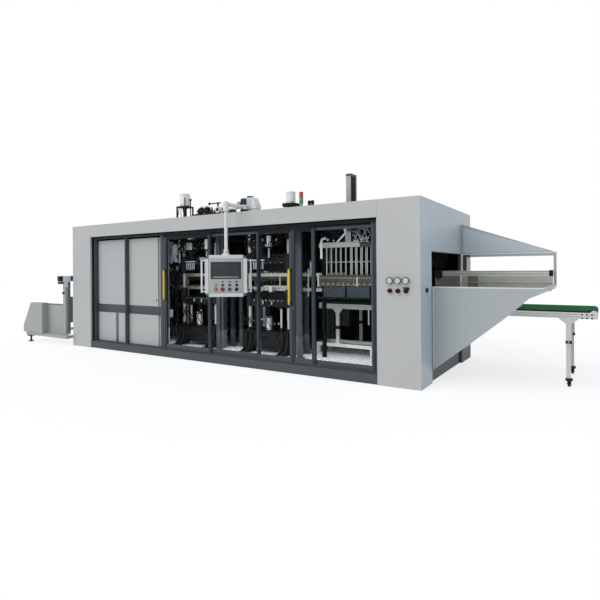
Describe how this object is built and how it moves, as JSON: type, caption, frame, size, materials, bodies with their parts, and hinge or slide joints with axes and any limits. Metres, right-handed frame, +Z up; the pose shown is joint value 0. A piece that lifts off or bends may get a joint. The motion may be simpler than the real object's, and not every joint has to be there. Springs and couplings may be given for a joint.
{
  "type": "thermoforming machine",
  "caption": "Long glazed cabinet over press stations and a stacker, with a sheet feed unit at one end and a hooded discharge conveyor at the other.",
  "frame": {"origin": "on the floor under the middle of the whole line's bounding box", "axes": "+X along the sheet's travel towards the discharge conveyor, +Y to the back, +Z up"},
  "size_m": [11.9, 3.564, 3.19],
  "materials": {
    "plinth_grey": "satin dark grey paint",
    "panel_grey": "light grey powder coat",
    "side_grey": "bluish grey powder coat",
    "frame_dark": "dark grey powder coat",
    "tread_plate": "raised tread pattern",
    "clear_pane": "clear polycarbonate",
    "elec_grey": "light grey powder coat",
    "chrome_rod": "ground and plated",
    "black_casting": "black paint",
    "platen_dark": "satin black paint",
    "white_tube": "white enamel",
    "beige_rail": "anodised",
    "oven_steel": "brushed",
    "machine_grey": "satin grey paint",
    "canister_white": "white enamel",
    "black_part": "matt black",
    "motor_grey": "grey enamel",
    "lamp_body": "gloss",
    "arm_grey": "pale grey powder coat",
    "button_amber": "gloss",
    "button_red": "gloss",
    "button_green": "gloss",
    "button_black": "gloss",
    "knob_red": "matt dark red",
    "axis_alu": "anodised profile",
    "belt_green": "smooth green belt",
    "roller_steel": "turned",
    "castor_black": "black"
  },
  "bodies": {
    "cabinet": {"base_frame": "plinth_grey", "floor_plate": "tread_plate", "front_panels": "panel_grey", "outer_panels": "side_grey", "right_wall": "side_grey", "front_frame": "frame_dark", "fixed_panes": "clear_pane", "cabinet_body": "elec_grey", "press_columns": "chrome_rod", "press_bases": "black_casting", "press_crowns": "black_casting", "press_cylinders": "white_tube", "chain_rails": "beige_rail", "oven": "oven_steel", "stacker_frame": "machine_grey", "roof_canisters": "canister_white", "canister_mounts": "black_part", "valve_block": "black_part", "roof_gearmotor": "motor_grey", "tower_light": "lamp_body", "vertical_axis": "machine_grey", "arm_bearing": "black_part", "hood_panels": "side_grey", "hood_frame": "side_grey", "linear_axis": "axis_alu", "conveyor_frame": "axis_alu", "conveyor_belt": "belt_green", "conveyor_legs": "axis_alu", "gauges": "canister_white", "feed_housing": "motor_grey", "feed_frame": "motor_grey"},
    "door_left": {"door_left": "frame_dark", "door_left_pane": "clear_pane"},
    "door_right": {"door_right": "frame_dark", "door_right_pane": "clear_pane"},
    "cabinet_door_left": {"cabinet_door_left": "elec_grey"},
    "cabinet_door_right": {"cabinet_door_right": "elec_grey"},
    "forming_lower_platen": {"forming_lower_platen": "platen_dark"},
    "forming_upper_platen": {"forming_upper_platen": "platen_dark"},
    "cutting_lower_platen": {"cutting_lower_platen": "platen_dark"},
    "cutting_upper_platen": {"cutting_upper_platen": "platen_dark"},
    "stacker_head": {"stacker_head": "beige_rail"},
    "axis_carriage": {"axis_carriage": "black_part"},
    "swing_arm": {"swing_arm": "arm_grey"},
    "control_box": {"control_box": "arm_grey"},
    "amber_button": {"amber_button": "button_amber"},
    "stop_button": {"stop_button": "button_red"},
    "start_button": {"start_button": "button_green"},
    "black_button": {"black_button": "button_black"},
    "regulator_knob_1": {"regulator_knob_1": "knob_red"},
    "regulator_knob_2": {"regulator_knob_2": "knob_red"},
    "regulator_knob_3": {"regulator_knob_3": "knob_red"},
    "drive_roller": {"drive_roller": "roller_steel"},
    "idle_roller": {"idle_roller": "roller_steel"},
    "guide_roller": {"guide_roller": "roller_steel"},
    "valve_lever": {"valve_lever": "black_part"},
    "castor_fork_near": {"castor_fork_near": "castor_black"},
    "castor_fork_far": {"castor_fork_far": "castor_black"},
    "castor_wheel_near": {"castor_wheel_near": "castor_black"},
    "castor_wheel_far": {"castor_wheel_far": "castor_black"}
  },
  "joints": [
    {"name": "door_left_slide", "type": "slide", "parent": "cabinet", "child": "door_left", "axis": [1, 0, 0], "range_m": [0, 1.07]},
    {"name": "door_right_slide", "type": "slide", "parent": "cabinet", "child": "door_right", "axis": [1, 0, 0], "range_m": [0, 0.975]},
    {"name": "cabinet_door_left_hinge", "type": "hinge", "parent": "cabinet", "child": "cabinet_door_left", "pos_m": [-3.499, -1.05801, 0.965], "axis": [0, 0, -1], "range_deg": [0, 90]},
    {"name": "cabinet_door_right_hinge", "type": "hinge", "parent": "cabinet", "child": "cabinet_door_right", "pos_m": [-2.457, -1.05801, 0.965], "axis": [0, 0, -1], "range_deg": [0, 90]},
    {"name": "forming_press_down", "type": "slide", "parent": "cabinet", "child": "forming_upper_platen", "axis": [0, 0, -1], "range_m": [0, 0.12]},
    {"name": "forming_press_up", "type": "slide", "parent": "cabinet", "child": "forming_lower_platen", "axis": [0, 0, 1], "range_m": [0, 0.12]},
    {"name": "cutting_press_down", "type": "slide", "parent": "cabinet", "child": "cutting_upper_platen", "axis": [0, 0, -1], "range_m": [0, 0.12]},
    {"name": "cutting_press_up", "type": "slide", "parent": "cabinet", "child": "cutting_lower_platen", "axis": [0, 0, 1], "range_m": [0, 0.12]},
    {"name": "stacker_raise", "type": "slide", "parent": "cabinet", "child": "stacker_head", "axis": [0, 0, 1], "range_m": [0, 0.12]},
    {"name": "carriage_travel", "type": "slide", "parent": "cabinet", "child": "axis_carriage", "axis": [1, 0, 0], "range_m": [0, 1.2]},
    {"name": "arm_swivel", "type": "hinge", "parent": "cabinet", "child": "swing_arm", "pos_m": [0.6324, -1.03801, 2.8], "axis": [0, 0, 1], "range_deg": [-30, 5]},
    {"name": "panel_swivel", "type": "hinge", "parent": "swing_arm", "child": "control_box", "pos_m": [0.6324, -1.51801, 1.94], "axis": [0, 0, 1], "range_deg": [-36, 3]},
    {"name": "amber_button_press", "type": "slide", "parent": "control_box", "child": "amber_button", "axis": [-0.5878, 0.809, 0], "range_m": [0, 0.005], "stiffness_N_per_m": 600, "springref_m": -0.001},
    {"name": "stop_button_press", "type": "slide", "parent": "control_box", "child": "stop_button", "axis": [-0.5878, 0.809, 0], "range_m": [0, 0.005], "stiffness_N_per_m": 600, "springref_m": -0.001},
    {"name": "start_button_press", "type": "slide", "parent": "control_box", "child": "start_button", "axis": [-0.5878, 0.809, 0], "range_m": [0, 0.005], "stiffness_N_per_m": 600, "springref_m": -0.001},
    {"name": "black_button_press", "type": "slide", "parent": "control_box", "child": "black_button", "axis": [-0.5878, 0.809, 0], "range_m": [0, 0.005], "stiffness_N_per_m": 600, "springref_m": -0.001},
    {"name": "regulator_1_turn", "type": "hinge", "parent": "cabinet", "child": "regulator_knob_1", "pos_m": [3.437, -1.21801, 1.374], "axis": [0, -1, 0], "range_deg": [0, 270]},
    {"name": "regulator_2_turn", "type": "hinge", "parent": "cabinet", "child": "regulator_knob_2", "pos_m": [3.556, -1.21801, 1.374], "axis": [0, -1, 0], "range_deg": [0, 270]},
    {"name": "regulator_3_turn", "type": "hinge", "parent": "cabinet", "child": "regulator_knob_3", "pos_m": [3.675, -1.21801, 1.374], "axis": [0, -1, 0], "range_deg": [0, 270]},
    {"name": "drive_roller_spin", "type": "hinge", "parent": "cabinet", "child": "drive_roller", "pos_m": [5.902, 0.01999, 1.045], "axis": [0, 1, 0], "continuous": true},
    {"name": "idle_roller_spin", "type": "hinge", "parent": "cabinet", "child": "idle_roller", "pos_m": [1.598, 0.01999, 1.045], "axis": [0, 1, 0], "continuous": true},
    {"name": "guide_roller_spin", "type": "hinge", "parent": "cabinet", "child": "guide_roller", "pos_m": [-4.45, -1.41801, 1.5], "axis": [0, 1, 0], "continuous": true},
    {"name": "valve_lever_turn", "type": "hinge", "parent": "cabinet", "child": "valve_lever", "pos_m": [-0.0816, -0.91801, 2.94], "axis": [0, 0, 1], "range_deg": [0, 90]},
    {"name": "castor_swivel_near", "type": "hinge", "parent": "cabinet", "child": "castor_fork_near", "pos_m": [5.595, 0.04499, 0.127], "axis": [0, 0, 1], "continuous": true},
    {"name": "castor_roll_near", "type": "hinge", "parent": "castor_fork_near", "child": "castor_wheel_near", "pos_m": [5.595, 0.07499, 0.038], "axis": [1, 0, 0], "continuous": true},
    {"name": "castor_swivel_far", "type": "hinge", "parent": "cabinet", "child": "castor_fork_far", "pos_m": [5.595, 1.03499, 0.127], "axis": [0, 0, 1], "continuous": true},
    {"name": "castor_roll_far", "type": "hinge", "parent": "castor_fork_far", "child": "castor_wheel_far", "pos_m": [5.595, 1.06499, 0.038], "axis": [1, 0, 0], "continuous": true}
  ],
  "couplings": [
    {"joint": "forming_press_up", "follows": "forming_press_down", "ratio": 1},
    {"joint": "cutting_press_up", "follows": "cutting_press_down", "ratio": 1},
    {"joint": "idle_roller_spin", "follows": "drive_roller_spin", "ratio": 1}
  ]
}
